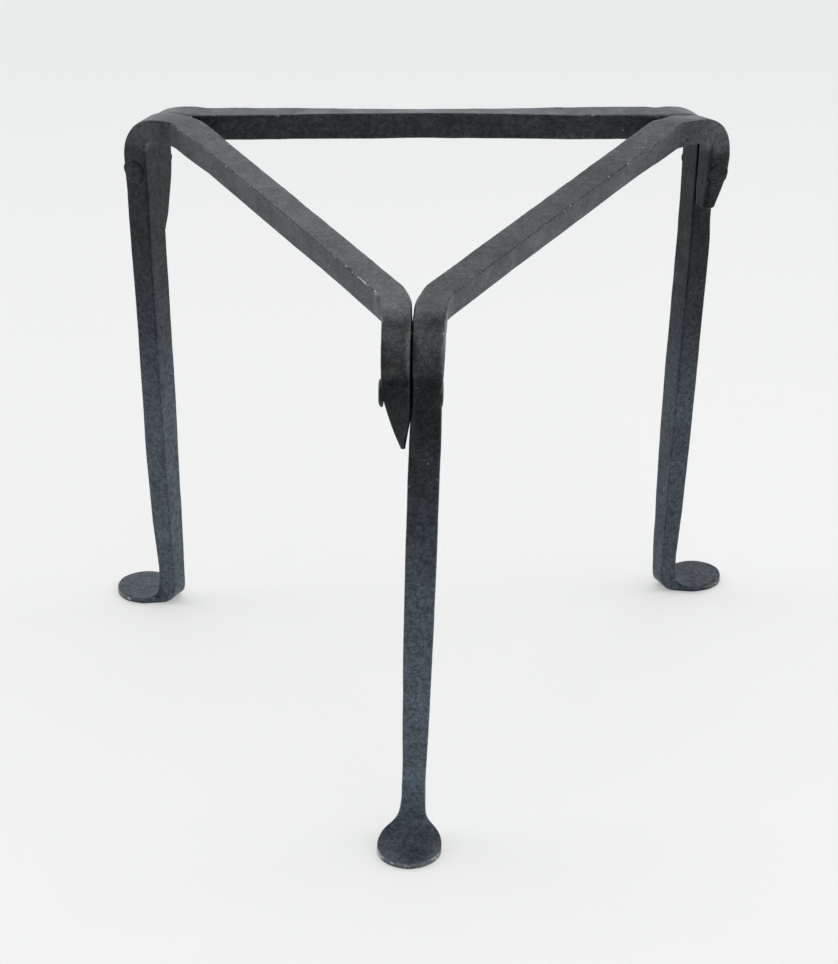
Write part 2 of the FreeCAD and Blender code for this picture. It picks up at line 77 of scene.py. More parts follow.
# ---------------------------------------------------------------- members' own outlines
# Leg: (z, out) of the inner and outer faces; (z, sideways) of the lap-side and free-side
# faces; (out, sideways, radius) of the foot's disc.  Sideways is from the radial line.
LEG = {
    "front": dict(
        inner=[(201, 113.0), (143, 111.15), (95, 109.6), (62, 108.6), (33.5, 107.7), (14, 107.0)],
        outer=[(186, 121.9), (170, 121.3), (143, 119.95), (95, 118.2), (62, 116.9), (33.5, 115.2),
               (14, 113.4)],
        lap=[(201, .55), (172, .5), (157, -.45), (143, -1.0), (122, -1.67), (99, -2.33),
             (76, -2.95), (53, -3.3), (29, -3.6), (19.4, -3.9), (12, -4.3)],
        free=[(201, 10.9), (190, 11.25), (183, 10.9), (176, 10.1), (157, 9.9), (143, 9.35),
              (122, 8.67), (99, 7.85), (76, 6.8), (53, 5.85), (29, 4.6), (19.4, 4.05), (12, 4.0)],
        foot=(120.7, -1.25, 11.2)),
    "right": dict(
        inner=[(201, 113.8), (163, 112.75), (123, 110.9), (83, 109.1), (42, 107.4), (15.7, 106.9)],
        outer=[(184, 122.2), (157, 121.0), (124.5, 119.5), (85, 117.6), (65, 116.7), (50, 115.8),
               (34, 114.9), (24, 114.0), (14, 113.3)],
        lap=[(201, .2), (170.5, .2), (143, .1), (95, 1.2), (62, 2.1), (33.5, 2.8), (14, 3.7)],
        free=[(201, 10.0), (170.5, 10.0), (143, 10.1), (95, 11.1), (62, 11.3), (33.5, 10.9),
              (14, 11.1)],
        foot=(123.8, 7.1, 10.45)),
    "left": dict(
        inner=[(201, 112.9), (145, 111.0), (124, 110.1), (84.5, 108.4), (64, 107.65), (22, 106.1),
               (6, 105.6)],
        outer=[(184, 122.2), (175, 121.7), (165.6, 121.2), (149, 120.25), (126, 119.0),
               (86, 117.3), (65.5, 116.8), (50, 116.0), (34.6, 115.1), (24, 114.1), (14, 113.2)],
        lap=[(201, -.35), (170.5, -.35), (143, .25), (95, 1.6), (62, 2.9), (33.5, 4.0), (14, 4.7)],
        free=[(201, 9.35), (170.5, 9.35), (143, 10.25), (95, 11.5), (62, 12.1), (33.5, 12.1),
              (14, 12.0)],
        foot=(122.4, 8.5, 10.95)),
}
# Shoulder over the leg: (out, z) from the rail's top to the leg's outer face
SHOULDER = {
    "front": [(100, 201.0), (105.5, 200.9), (109.5, 200.2), (113.0, 198.7), (116.2, 196.3),
              (118.9, 193.2), (120.7, 189.8), (121.7, 186.0), (121.9, 182.0)],
    "right": [(98, 201.0), (104, 200.4), (107, 199.9), (110, 199.2), (113.2, 198.0), (116.3, 196.2),
              (119.0, 193.8), (120.9, 190.6), (121.9, 187), (122.2, 183)],
    "left": [(98, 200.9), (103.1, 200.7), (106.3, 200.4), (109.5, 199.9), (112.7, 199.0),
             (115.3, 197.7), (117.3, 196.0), (119.4, 193.3), (120.8, 190.5), (121.8, 187.4),
             (122.15, 184)],
}
# Tail at the far corner: (out, z) of the outer face from the rail's top down; (z, out) of
# the inner face, down to the tip; (z, distance from the lap) of the lap-side and free-side
# faces; rounding of the long edges
TAIL = {
    "front": dict(
        outer=[(100, 201.0), (106, 201.0), (110.5, 200.8), (113.6, 200.0), (117.0, 197.9),
               (119.5, 195.1), (121.3, 191.8), (122.1, 188.3), (122.3, 184.5), (122.0, 180.6),
               (121.0, 176.1), (119.6, 171.4), (118.4, 167.8), (117.6, 165.6)],
        inner=[(192, 113.5), (180, 113.2), (172, 112.7), (165.0, 112.3)],
        lap=[(201, 0.0), (172, 0.0), (165.0, 0.4)],
        free=[(201, 9.4), (185, 9.3), (174, 8.8), (165.0, 8.0)],
        rounding=1.8),
    "right": dict(
        outer=[(96, 200.8), (99.8, 200.5), (103.6, 200.1), (107.5, 199.5), (112.0, 198.2),
               (116.0, 196.6), (119.4, 193.6), (121.2, 189.8), (121.7, 185), (121.7, 176),
               (120.8, 168), (119.5, 160.5), (118.2, 154.4), (117.4, 152.8)],
        inner=[(192, 113.9), (172, 113.1), (160, 112.8), (152.6, 112.5)],
        lap=[(201, 0.0), (160, .05), (152.6, .3)],
        free=[(201, 8.6), (182, 8.4), (176, 7.9), (170, 6.9), (164, 5.4), (158, 3.9),
              (152.6, 1.9)],
        rounding=.6),
    "left": dict(
        outer=[(100, 201.0), (105.5, 200.9), (109.8, 200.2), (113.2, 198.8), (116.4, 196.4),
               (119.0, 193.3), (120.8, 189.8), (121.6, 186.0), (121.6, 178), (121.2, 172),
               (120.0, 164), (118.4, 158), (117.6, 155.2)],
        inner=[(192, 113.0), (174, 112.4), (164, 112.4), (154.8, 112.8)],
        lap=[(201, 0.0), (168, 0.0), (165, .45), (161, 1.2), (154.8, 2.0)],
        free=[(201, 9.6), (180, 9.65), (175, 9.3), (171, 8.3), (167, 7.3), (160, 5.4),
              (154.8, 3.9)],
        rounding=.6),
}
# Plan bends: convex radius, concave radius at the top edge and at the bottom edge
BEND = {
    ("front", "leg"): (30.0, 2.5, 5.0), ("front", "tail"): (29.0, 1.5, 3.0),
    ("right", "leg"): (29.0, 2.0, 4.0), ("right", "tail"): (29.0, 2.0, 3.0),
    ("left", "leg"): (33.0, 4.0, 13.0), ("left", "tail"): (30.0, 1.5, 3.0),
}
UNCHANGED = [(0, 0)]
# (out, distance) the free side stands out (+) or in (-) near the bend
FLARE = {
    ("front", "leg"): [(95.5, 0), (101.5, 2.2), (106, 1.5), (113, .2), (117, 0)],
    ("front", "tail"): [(97.5, 0), (101.5, -.4), (106, -.3), (112, 0)],
    ("left", "tail"): [(95.5, 0), (99.5, 1.2), (106, .6), (112, 0)],
}
# (out, distance) the lap side is eased away there
EASE = {("front", "leg"): [(94, 0), (98, .5), (104, .45), (109, .25), (112, 0)]}
# how far the arris next to the lap is hammered back, which leaves a seam
SEAM = {("front", "leg"): .9, ("front", "tail"): 1.2, ("right", "leg"): .9,
        ("right", "tail"): .6, ("left", "leg"): .6, ("left", "tail"): .9}
# how much wider the rail is on its outer side where it runs into the bend
BULGE = {("front", "leg"): .3, ("front", "tail"): 1.1, ("right", "leg"): .3,
         ("right", "tail"): .3, ("left", "leg"): 1.1, ("left", "tail"): .4}
# (share of the rail's length, degrees its top leans outward)
ROLL = {"front": [(0, 8.0), (.25, 8.0), (.5, 7.0), (.8, 9.0), (1, 9.0)],
        "right": [(0, 3.0), (.08, 6.0), (.2, 9.0), (.5, 13.0), (.8, 10.0), (.93, 8.0), (1, 5.0)],
        "left": [(0, 2.5), (.5, 1.0), (1, 1.5)]}


# ---------------------------------------------------------------- curves and noise
def lattice_hash(ix, iy, iz, seed):
    """Pseudo-random values in 0..1 at whole-number lattice points."""
    bits = (ix * 374761393 + iy * 668265263 + iz * 2147483647 + seed * 1274126177) & 0xFFFFFFFF
    bits = ((bits ^ (bits >> 13)) * 1274126177) & 0xFFFFFFFF
    bits = (bits ^ (bits >> 16)) & 0xFFFFFFFF
    bits = (bits * 2246822519) & 0xFFFFFFFF
    return ((bits ^ (bits >> 15)) & 0xFFFFFF) / float(0xFFFFFF)


def noise(points, size, seed):
    """Smooth value noise in -1..1 at points (n, 3), with features of about size."""
    a, b = 0.7 + 1.3 * (seed % 17), 0.4 + 0.9 * (seed % 11)
    ca, sa, cb, sb = math.cos(a), math.sin(a), math.cos(b), math.sin(b)
    turn = np.array([[ca, -sa * cb, sa * sb], [sa, ca * cb, -ca * sb], [0, sb, cb]])
    lattice = (points / size) @ turn.T + 1000.0
    cell = np.floor(lattice).astype(np.int64)
    part = lattice - cell
    part = part * part * part * (part * (part * 6 - 15) + 10)
    total = np.zeros(len(points))
    for corner in itertools.product((0, 1), repeat=3):
        weight = np.where(corner, part, 1 - part)
        x, y, z = (cell + np.array(corner)).T
        total += weight[:, 0] * weight[:, 1] * weight[:, 2] * lattice_hash(x, y, z, seed)
    return total * 2 - 1


def step(start, end, x):
    """Smooth rise from 0 at start to 1 at end; start may be the greater."""
    t = np.clip((np.asarray(x, float) - start) / (end - start), 0, 1)
    return t * t * (3 - 2 * t)


def interpolate(x, rows):
    """Value at x in a list of (x, value) pairs in any order."""
    places, values = zip(*sorted(rows))
    return np.interp(x, places, values)


def resample(points, count):
    """Points evenly spaced along a polyline."""
    points = np.array(points, float)
    lengths = np.linalg.norm(np.diff(points, axis=0), axis=1)
    run = np.concatenate([[0], np.cumsum(lengths)])
    even = np.linspace(0, run[-1], count)
    return np.stack([np.interp(even, run, column) for column in points.T], 1)


def rounded(points, passes):
    """Chaikin corner cutting with fixed ends."""
    points = np.array(points, float)
    for _ in range(passes):
        a, b = points[:-1], points[1:]
        cut = np.empty((2 * len(a), points.shape[1]))
        cut[0::2] = 0.75 * a + 0.25 * b
        cut[1::2] = 0.25 * a + 0.75 * b
        points = np.vstack([points[:1], cut, points[-1:]])
    return points


def unit(degrees):
    return np.array([math.cos(math.radians(degrees)), math.sin(math.radians(degrees))])


# ---------------------------------------------------------------- sections
EDGE_SHARES = np.array([0.0, 0.16, 0.36, 0.62, 1.0])    # ring points inside a rounding
FLAT_POINTS = 6                                         # from there to mid-face


def section(width, depth, radius):
    """Shares (0..1) of width and depth round a rounded rectangle, and how near each
    point is to an arris (0..1)."""
    radius_across, radius_down = min(radius, 0.45 * width), min(radius, 0.45 * depth)
    sides = []
    for size, side_radius in ((width, radius_across), (depth, radius_down)):
        flat = (size / 2 - side_radius) * np.arange(1, FLAT_POINTS + 1) / FLAT_POINTS
        half = np.concatenate([EDGE_SHARES * side_radius, side_radius + flat])
        full = np.concatenate([half, size - half[-2::-1]])
        sides.append((full / size * 2 - 1)[:-1])
    across, down = sides
    u = np.concatenate([across, np.ones(len(down)), -across, -np.ones(len(down))])
    v = np.concatenate([np.ones(len(across)), -down, -np.ones(len(across)), down])

    # pull the points near a corner onto its arc
    arc = min(radius_across, radius_down)
    inset_u, inset_v = (1 - np.abs(u)) * width / 2, (1 - np.abs(v)) * depth / 2
    p, q = arc - inset_u, arc - inset_v
    near = (p > 0) & (q > 0)
    pull = np.where(near, np.maximum(p, q) / np.maximum(np.hypot(p, q), 1e-9), 1.0)
    round_u = np.where(near, arc - p * pull, inset_u)
    round_v = np.where(near, arc - q * pull, inset_v)
    u = np.sign(u) * (1 - round_u / (width / 2))
    v = np.sign(v) * (1 - round_v / (depth / 2))
    edge = np.clip(1 - np.maximum(inset_u, inset_v) / (2.2 * max(radius, 0.3)), 0, 1)
    return (u + 1) / 2, (v + 1) / 2, edge


def station(outer, inner, outer_limits, inner_limits, radius=0.5):
    """One section: (out, z) of the outer and inner faces, then the (lap side, free side)
    limits of each, measured from the lap face, and the rounding of the edges."""
    return [*outer, *inner, *outer_limits, *inner_limits, radius]


def fill(keys):
    """Insert stations so that neither face moves more than SPACING."""
    keys = np.array(keys, float)
    rows = [keys[0]]
    for a, b in zip(keys[:-1], keys[1:]):
        longest = max(math.hypot(b[0] - a[0], b[1] - a[1]), math.hypot(b[2] - a[2], b[3] - a[3]))
        count = max(1, int(math.ceil(longest / SPACING)))
        for k in range(1, count + 1):
            rows.append(a + (b - a) * k / count)
    return np.array(rows)


def soften(rows, sigma=1.6, fixed=2):
    """Gaussian smoothing of kinks along the stations; the fixed end rows stay."""
    n = int(3 * sigma) + 1
    kernel = np.exp(-0.5 * (np.arange(-n, n + 1) / sigma) ** 2)
    kernel /= kernel.sum()
    # mirror about the ends so that straight runs stay straight
    padded = np.vstack([2 * rows[0] - rows[n:0:-1], rows, 2 * rows[-1] - rows[-2:-n - 2:-1]])
    smooth = np.stack([np.convolve(column, kernel, mode="valid") for column in padded.T], 1)
    smooth[:fixed], smooth[-fixed:] = rows[:fixed], rows[-fixed:]
    return smooth


# ---------------------------------------------------------------- stations of the members
def shoulder_stations(profile, inner_face, free_face, fillet, inner_end, count, rounding):
    """Stations from the rail round a shoulder; inner_end is the height where the inner
    face ends and rounding(share, z) gives the edge rounding."""
    start, start_z = profile[0]
    rows = []
    for out in np.arange(66.0, start - 0.5, 1.5):
        z = RAIL_TOP + (start_z - RAIL_TOP) * step(86, start, out)
        rows.append(station((out, z), (out, RAIL_BOTTOM), FULL_WIDTH, FULL_WIDTH))

    face = interpolate(192, inner_face)
    inner_profile = [(start, RAIL_BOTTOM), (face - fillet * 1.6, RAIL_BOTTOM),
                     (face - fillet * .35, RAIL_BOTTOM - fillet * .35),
                     (face, RAIL_BOTTOM - fillet * 1.6),
                     (interpolate(inner_end, inner_face), inner_end)]
    outer_points = resample(rounded(profile, 2), count)
    inner_points = resample(rounded(inner_profile, 3), count)
    for outer, inner in zip(outer_points, inner_points):
        share = float(step(start, start + 12, outer[0]))
        limits = [(0.0, BAR_WIDTH + (interpolate(z, free_face) - BAR_WIDTH) * share)
                  for z in (outer[1], inner[1])]
        rows.append(station(outer, inner, *limits, rounding(share, outer[1])))
    return rows


def foot_sections(name, half):
    """Instep and heel for a leg of the given half width.  Columns: outward shift from the
    leg's outer face, z, half width; the same from its inner face; share of the way to the
    disc's middle; edge rounding."""
    if name == "front":
        return (
            (0.0, 11.8, half + .15, 0.0, 11.0, half, .15, .55),
            (0.0, 9.6, half + .5, .05, 8.4, half + .1, .35, .5),
            (.05, 7.7, half + 1.5, .15, 6.6, half + .3, .5, .45),
            (.7, 6.5, 7.2, .55, 4.9, 4.7, .65, .4),
            (2.0, 5.3, 9.0, 1.6, 2.9, 5.3, .8, .35),
            (3.6, 4.0, 10.1, 3.0, 1.1, 6.0, .9, .3),
            (5.4, 3.0, 10.7, 4.9, .25, 7.6, .97, .3),
            (6.9, 2.5, 10.85, 9.3, 0.0, 9.9, 1.0, .28))
    return (
        (0.0, 12.0, half + .1, 0.0, 11.0, half, .1, .55),
        (0.0, 9.4, half + .15, 0.0, 8.4, half, .2, .5),
        (0.0, 7.0, half + .25, .05, 6.0, half + .05, .3, .45),
        (.05, 5.0, half + .5, .3, 4.0, half + .1, .4, .4),
        (.25, 3.6, half + 1.4, 1.3, 2.2, half + .25, .5, .35),
        (1.1, 2.7, 6.8, 2.9, .8, half + .6, .65, .3),
        (2.9, 2.35, 8.9, 5.0, .1, 4.9, .8, .28),
        (5.2, 2.2, 10.1, 8.3, 0.0, 7.2, .9, .28),
        (7.2, 2.15, 10.7, 11.4, 0.0, 9.6, .97, .28))


DISC_ANGLES = (2, 12, 22, 32, 42, 50, 58, 65, 71, 76, 80.5, 84, 87, 89.2)


def foot_stations(name, lap, free, lap_face):
    """Stations from the ankle to the rim of the penny foot."""
    leg = LEG[name]
    centre, disc_middle, radius = leg["foot"]
    disc_middle -= lap_face
    ankle = 14
    outer, inner = interpolate(ankle, leg["outer"]), interpolate(ankle, leg["inner"])
    low, high = interpolate(ankle, lap), interpolate(ankle, free)
    leg_middle = (low + high) / 2
    scale = radius / NOMINAL_FOOT_RADIUS
    rows = []
    for (outer_shift, outer_z, outer_half, inner_shift, inner_z, inner_half, share,
         rounding) in foot_sections(name, (high - low) / 2):
        middle = leg_middle + (disc_middle - leg_middle) * share
        rows.append(station((outer + outer_shift, outer_z), (inner + inner_shift, inner_z),
                            (middle - outer_half * scale, middle + outer_half * scale),
                            (middle - inner_half * scale, middle + inner_half * scale),
                            rounding))
    for degrees in DISC_ANGLES:
        angle = math.radians(degrees)
        half = radius * math.cos(angle)
        out = centre + radius * math.sin(angle)
        crown = 2.15 - 0.1 * math.sin(angle)
        limits = (disc_middle - half, disc_middle + half)
        rows.append(station((out, crown), (out, 0.0), limits, limits, .28))
    return rows


def leg_stations(name):
    """Stations from the rail's bend down to the rim of the foot."""
    leg = LEG[name]
    lap_face = LAP[name] + LAP_GAP
    lap = [(z, sideways - lap_face) for z, sideways in leg["lap"]]
    free = [(z, sideways - lap_face) for z, sideways in leg["free"]]
    # the front shoulder's edges are softer, down to the top of the leg
    softer_knee, softer_leg = (.55, .5) if name == "front" else (0, 0)
    inner_start = 184.0
    rows = shoulder_stations(SHOULDER[name], leg["inner"], free, LEG_FILLET, inner_start, 44,
                             lambda share, z: .5 + softer_knee * share)
    # the inner face starts level with inner_start and is level with the outer one by here
    level = 170
    outer_start = SHOULDER[name][-1][1]
    for z in np.concatenate([np.arange(outer_start - 3, 18, -3.0), [14.5]]):
        inner_z = z
        if z >= level:
            inner_z = z + (inner_start - outer_start) * (z - level) / (outer_start - level)
        rows.append(station((interpolate(z, leg["outer"]), z),
                            (interpolate(inner_z, leg["inner"]), inner_z),
                            (interpolate(z, lap), interpolate(z, free)),
                            (interpolate(inner_z, lap), interpolate(inner_z, free)),
                            .55 + softer_leg * float(step(168, 178, z))))
    rows += foot_stations(name, lap, free, lap_face)
    return soften(fill(rows))


def tail_stations(name):
    """Stations from the rail's bend at the far corner down to the tail's tip."""
    tail = TAIL[name]
    outer, inner = tail["outer"], tail["inner"]
    tip = inner[-1][0]
    # the shoulder ends at the first outline point below this height
    split = next(k for k, (_, z) in enumerate(outer) if z < 187)
    split_z = outer[split][1]
    rows = shoulder_stations(
        outer[:split + 1], inner, tail["free"], TAIL_FILLET, split_z, 40,
        lambda share, z: .5 + (tail["rounding"] - .5) * float(step(198, 189, z)))
    outer_face = [(z, out) for out, z in outer[split:]]
    for z in np.concatenate([np.arange(split_z - 1.5, tip + 1.2, -1.5), [tip]]):
        limits = (interpolate(z, tail["lap"]), interpolate(z, tail["free"]))
        rows.append(station((interpolate(z, outer_face), z), (interpolate(z, inner), z),
                            limits, limits,
                            tail["rounding"] + .3 * float(step(tip + 6, tip, z))))
    return soften(fill(rows))


# ---------------------------------------------------------------- sweep
def meet(normal_1, distance_1, normal_2, distance_2):
    """Where the plan lines with these normals and distances cross."""
    det = normal_1[0] * normal_2[1] - normal_1[1] * normal_2[0]
    return np.stack([(distance_1 * normal_2[1] - distance_2 * normal_1[1]) / det,
                     (normal_1[0] * distance_2 - normal_2[0] * distance_1) / det], -1)


def round_bend(corner, out_way, rail_way, along, radius, degrees):
    """Point at signed distance along from a plan corner: out_way when positive, rail_way
    when negative, on an arc that turns by degrees in between."""
    half_turn = math.radians(degrees / 2)
    reach = radius * math.tan(half_turn)
    weight = math.cos(half_turn)
    t = np.clip((reach - along) / (2 * reach), 0, 1)[:, None]
    first = corner + out_way * reach[:, None]
    last = corner + rail_way * reach[:, None]
    middle = 2 * weight * t * (1 - t)
    arc = (((1 - t) ** 2 * first + middle * corner + t ** 2 * last)
           / ((1 - t) ** 2 + middle + t ** 2))
    return (arc + out_way * np.maximum(along - reach, 0)[:, None]
            + rail_way * np.maximum(-along - reach, 0)[:, None])


def half_rings(name, end):
    """Rings of a member's "leg" or "tail" half about the axis, as if its leg stood at the
    front corner, and their edge masks."""
    key = (name, end)
    heading, offset = RAIL[name]
    along = unit(heading)
    rail_out = np.array([along[1], -along[0]])
    if end == "leg":
        out_way, free_way = np.array([0.0, -1.0]), np.array([1.0, 0.0])
        rail_way, bend = along, 90 - heading
        lap_face, rail_share = LAP[name] + LAP_GAP, 0.0
        stations = leg_stations(name)
    else:
        out_way, free_way = unit(30), -unit(120)
        rail_way, bend = -along, heading - 30
        lap_face, rail_share = LAP_GAP - LAP[FAR_CORNER[name]], 1.0
        stations = tail_stations(name)
    convex, concave_top, concave_bottom = BEND[key]
    lean = math.radians(interpolate(rail_share, ROLL[name]))

    rings, edges = [], []
    for (outer_out, outer_z, inner_out, inner_z, outer_lap, outer_free, inner_lap, inner_free,
         rounding) in stations:
        width = max(0.5 * ((outer_free - outer_lap) + (inner_free - inner_lap)), 0.05)
        depth = math.hypot(outer_out - inner_out, outer_z - inner_z)
        across, up, edge = section(width, depth, rounding)
        lap_side = inner_lap + (outer_lap - inner_lap) * up
        free_side = inner_free + (outer_free - inner_free) * up
        w = lap_side + (free_side - lap_side) * across

        # seam beside the lap
        back = (SEAM[key] * step(91, 98, outer_out) * step(148, 156, outer_z) / max(depth, 1)
                * np.clip(1 - w / 1.5, 0, 1) ** 2 * step(.45, 1.0, up))
        if key == ("front", "tail"):     # its shoulder tilts down to the lap
            back = back + (1.5 * step(101, 110, outer_out) * step(182, 193, outer_z)
                           / max(depth, 1) * np.clip(1 - w / BAR_WIDTH, 0, 1)
                           * step(.45, 1.0, up))
        up = up - back
        out = inner_out + (outer_out - inner_out) * up
        z = inner_z + (outer_z - inner_z) * up

        # the rail's roll fades out towards the corner
        roll = lean * step(103.0, 90.0, out) * step(188.0, 191.0, z)
        dw, dz = w - BAR_WIDTH / 2, z - (RAIL_TOP - RAIL_DEPTH / 2)
        w = w + (dw * (np.cos(roll) - 1) + dz * np.sin(roll))
        z = z + (-dw * np.sin(roll) + dz * (np.cos(roll) - 1))

        # a flare inward narrows the bar before the bend, one outward is added after it
        freeness = np.clip(w / BAR_WIDTH, 0, 1)
        flare = (interpolate(out, FLARE.get(key, UNCHANGED)) * freeness ** 2
                 * (0.15 + 0.85 * up) * step(176.0, 190.0, z))
        w = w + np.minimum(flare, 0)
        ease = interpolate(out, EASE.get(key, UNCHANGED)) * (1 - freeness) ** 2
        shift = np.maximum(flare, 0) + ease * step(184, 190, z)

        bulge = BULGE[key] * step(68.0, 92.0, out) * freeness ** 2
        corner = meet(free_way, lap_face + w, rail_out, offset - BAR_WIDTH / 2 + w + bulge)
        concave = concave_bottom + (concave_top - concave_bottom) * up
        plan = round_bend(corner, out_way, rail_way, out - corner @ out_way,
                          convex + (concave - convex) * freeness, bend)
        plan = plan + free_way * shift[:, None]
        rings.append(np.column_stack([plan, z]))
        edges.append(edge)
    return rings, edges


def rail_rings(name, first, last):
    """Rings between the two bends, rolled as the ROLL table says."""
    along = unit(RAIL[name][0])
    rail_out = np.array([along[1], -along[0]])
    count = int(np.linalg.norm(last.mean(0) - first.mean(0)) / SPACING)
    roll_first, roll_last = interpolate(0, ROLL[name]), interpolate(1, ROLL[name])
    rings = []
    for k in range(1, count):
        t = k / count
        ring = first + (last - first) * t
        # the end rings already carry their own roll
        roll = math.radians(interpolate(t, ROLL[name])
                            - (roll_first + (roll_last - roll_first) * t))
        centre = ring.mean(0)
        across = (ring - centre)[:, :2] @ rail_out
        rise = (ring - centre)[:, 2]
        rolled = across * math.cos(roll) + rise * math.sin(roll)
        ring[:, :2] += (rolled - across)[:, None] * rail_out
        ring[:, 2] = centre[2] - across * math.sin(roll) + rise * math.cos(roll)
        rings.append(ring)
    return rings


# (scale, advance) of the rings that close the foot's rim and round the tail's tip
FOOT_CAP = ((.6, .01), (.2, .012))
TIP_CAP = ((.93, .35), (.8, .68), (.6, .9), (.35, .98), (.12, 1.0))


def cap(ring, before, steps):
    """Shrinking rings that carry on from ring, away from before."""
    centre = ring.mean(0)
    forward = centre - before.mean(0)
    forward /= np.linalg.norm(forward)
    return [centre + (ring - centre) * scale + forward * advance for scale, advance in steps]


def member_rings(name):
    """(rings, points round, 3) in place, and the edge mask for each point."""
    leg, leg_edges = half_rings(name, "leg")
    tail, tail_edges = half_rings(name, "tail")
    rail = rail_rings(name, leg[0], tail[0])
    rings = np.array(leg[::-1] + rail + tail)
    rail_edge = section(BAR_WIDTH, RAIL_DEPTH, .5)[2]
    edges = np.array(leg_edges[::-1] + [rail_edge] * len(rail) + tail_edges)

    foot_cap = cap(rings[0], rings[1], FOOT_CAP)
    tip_cap = cap(rings[-1], rings[-3], TIP_CAP)
    rings = np.concatenate([foot_cap[::-1], rings, tip_cap])
    edges = np.pad(edges, ((len(foot_cap), len(tip_cap)), (0, 0)))

    turn = math.radians(CORNER_ANGLE[name] - CORNER_ANGLE["front"])
    x = rings[..., 0] * math.cos(turn) - rings[..., 1] * math.sin(turn) + AXIS[0]
    y = rings[..., 0] * math.sin(turn) + rings[..., 1] * math.cos(turn) + AXIS[1]
    return np.stack([x, y, lifted(x, y, rings[..., 2])], -1), edges


def lifted(x, y, z):
    """Heights once the three corners stand at their slightly different heights."""
    corners = [np.append(AXIS + LIFT_DISTANCE * unit(angle), 1.0)
               for angle in CORNER_ANGLE.values()]
    slope_x, slope_y, level = np.linalg.solve(np.array(corners),
                                              np.array([LIFT[name] for name in CORNER_ANGLE]))
    return z * (1 + (slope_x * x + slope_y * y + level) / RAIL_TOP)


# ---------------------------------------------------------------- hammer marks and wear
def ring_normals(rings):
    """Outward unit normals of a swept surface."""
    round_way = np.roll(rings, -1, axis=1) - np.roll(rings, 1, axis=1)
    sweep_way = np.empty_like(rings)
    sweep_way[1:-1] = rings[2:] - rings[:-2]
    sweep_way[0], sweep_way[-1] = rings[1] - rings[0], rings[-1] - rings[-2]
    normals = np.cross(round_way, sweep_way)
    normals /= np.maximum(np.linalg.norm(normals, axis=2, keepdims=True), 1e-9)
    if ((rings - rings.mean(1, keepdims=True)) * normals).sum() < 0:
        normals = -normals
    return normals


def displaced(rings, distance):
    """Rings with each point moved by distance along its normal."""
    return rings + ring_normals(rings) * distance.reshape(rings.shape[:2])[..., None]


HAMMER_MARKS = ((0.085, 17.0), (0.040, 6.5), (0.016, 3.0))      # depth, size


def hammered(rings, edge, seed):
    """Forge marks: shallow facets, finer planishing and edges that wander a little."""
    points = rings.reshape(-1, 3)
    distance = sum(depth * noise(points, size, seed + k)
                   for k, (depth, size) in enumerate(HAMMER_MARKS))
    # flattened facets where the hammer landed
    distance -= 0.07 * np.clip(noise(points, 8.5, seed + 3), 0.1, 1.0)
    # arrises set back, by long and by short waves
    distance -= edge.reshape(-1) * (0.02 + 0.11 * np.clip(noise(points, 5.0, seed + 4), 0, 1)
                                    + 0.11 * np.clip(noise(points, 2.6, seed + 5), 0.15, 1))
    # stay calm on the soles so that the feet sit flat, and in the laps so that they close
    liveliness = step(0.3, 3.0, points[:, 2])
    for corner, angle in CORNER_ANGLE.items():
        out = (points[:, :2] - AXIS) @ unit(angle)
        sideways = (points[:, :2] - AXIS) @ unit(angle + 90)
        in_lap = ((out > (110 if corner == "front" else 96)) & (points[:, 2] > 156)
                  & (np.abs(sideways - LAP[corner]) < 0.45))
        liveliness = np.where(in_lap, -0.3, liveliness)
    rings = displaced(rings, distance * (0.3 + 0.7 * liveliness))
    rings[..., 2] = np.maximum(rings[..., 2], 0.0)
    return rings


def wear(rings, edge, name):
    """Rubbed places: the rails' top edges most, and above 1 the rims of the penny feet."""
    centre, sideways, radius = LEG[name]["foot"]
    out_way = unit(CORNER_ANGLE[name])
    middle = AXIS + centre * out_way + sideways * unit(CORNER_ANGLE[name] + 90)
    z = rings[..., 2]
    distance = np.hypot(rings[..., 0] - middle[0], rings[..., 1] - middle[1])
    out = (rings[..., :2] - AXIS) @ out_way
    rim = (step(radius - .35, radius - .12, distance) * (z < 3.0)
           * step(centre - 6, centre, out))
    edge = edge * (0.25 + 0.75 * step(190.5, 194.5, z))
    return np.maximum(np.where(z < 3.0, edge * .25, edge), 1.6 * rim)


# ---------------------------------------------------------------- rivets
SHANK_RADIUS = 2.38
# height and distance out of the centre; head radius; sideways seats of the heads on the
# leg's and on the tail's side; height of the two domes
RIVET = {
    "front": dict(z=174.8, out=117.0, head=4.55, leg=10.1, tail=-9.2, domes=(0.6, 0.95)),
    "right": dict(z=178.1, out=116.9, head=4.05, leg=9.9, tail=-9.15, domes=(0.8, 0.32)),
    "left": dict(z=178.2, out=117.6, head=4.5, leg=9.5, tail=-8.4, domes=(0.45, 0.8)),
}
# share of the head's radius, share of the dome's height
DOME = ((.3, .985), (.55, .93), (.75, .84), (.87, .70), (.95, .45), (.99, .12))


def head_profile(radius, dome):
    """(radius, height over the seat) from the middle of a head round to the shank."""
    return ([(0.02, dome)] + [(radius * share, dome * rise) for share, rise in DOME]
            + [(radius, -.15), (radius * .985, -.5), (radius * .8, -.62),
               (SHANK_RADIUS * 1.02, -.7)])


